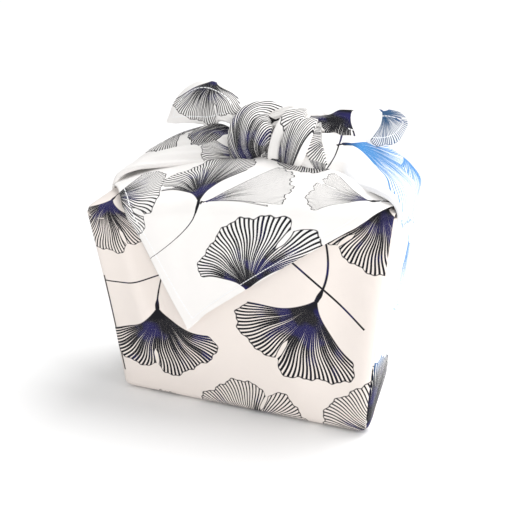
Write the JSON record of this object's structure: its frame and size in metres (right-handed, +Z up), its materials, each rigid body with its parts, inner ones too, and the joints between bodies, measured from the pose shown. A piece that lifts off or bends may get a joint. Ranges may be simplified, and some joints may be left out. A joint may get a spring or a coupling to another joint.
{
  "type": "furoshiki wrap",
  "caption": "Oblong bundle wrapped in printed cotton, with the far corner folded over the front as a flap and the side corners tied in a square knot on top.",
  "frame": {"origin": "middle of the base, on the surface that the wrap stands on", "axes": "+Z up, +X along the front from left to right, -Y out of the front face, where the flap hangs"},
  "size_m": [0.2333, 0.1047, 0.2402],
  "materials": {
    "printed_cotton": "plain-woven white cotton printed with dark blue-black ginkgo leaves in fine lines"
  },
  "bodies": {
    "root": {"furoshiki_cloth": "printed_cotton"}
  },
  "joints": []
}
